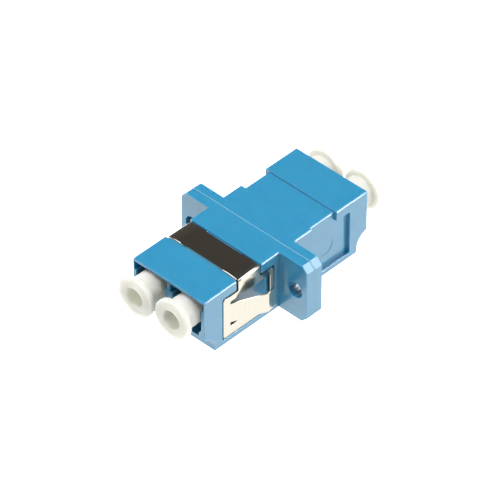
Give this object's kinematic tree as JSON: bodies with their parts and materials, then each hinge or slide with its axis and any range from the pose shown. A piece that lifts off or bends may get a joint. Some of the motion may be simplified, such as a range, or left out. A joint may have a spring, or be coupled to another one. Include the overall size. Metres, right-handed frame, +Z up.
{
  "type": "lc fibre adapter",
  "caption": "Flanged duplex fibre-optic adapter: a block with latching ports at each end, a folded steel panel clip over its front half and push-in dust caps.",
  "frame": {"origin": "on the flat underside, at the flange's mid plane and midway between the two ports", "axes": "+Y runs along the fibre axis, from the end that carries the panel clip to the plain end; +X runs across the two ports; +Z is up, away from the latch ways"},
  "size_m": [0.022, 0.0356, 0.0092],
  "materials": {
    "blue_plastic": "fine satin moulded surface",
    "spring_steel": "rolled bright spring sheet",
    "zirconia": "ground ceramic",
    "white_plastic": "soft translucent moulded surface"
  },
  "bodies": {
    "adapter": {"front_housing": "blue_plastic", "rear_housing": "blue_plastic", "panel_clip": "spring_steel", "left_split_sleeve": "zirconia", "right_split_sleeve": "zirconia"},
    "front_left_cap": {"front_left_dust_cap": "white_plastic"},
    "front_right_cap": {"front_right_dust_cap": "white_plastic"},
    "rear_left_cap": {"rear_left_dust_cap": "white_plastic"},
    "rear_right_cap": {"rear_right_dust_cap": "white_plastic"}
  },
  "joints": [
    {"name": "front_left_cap_slide", "type": "slide", "parent": "adapter", "child": "front_left_cap", "axis": [0, -1, 0], "range_m": [-0.00035, 0.013]},
    {"name": "front_right_cap_slide", "type": "slide", "parent": "adapter", "child": "front_right_cap", "axis": [0, -1, 0], "range_m": [-0.00015, 0.013]},
    {"name": "rear_left_cap_slide", "type": "slide", "parent": "adapter", "child": "rear_left_cap", "axis": [0, 1, 0], "range_m": [0, 0.013]},
    {"name": "rear_right_cap_slide", "type": "slide", "parent": "adapter", "child": "rear_right_cap", "axis": [0, 1, 0], "range_m": [-0.00035, 0.013]}
  ]
}
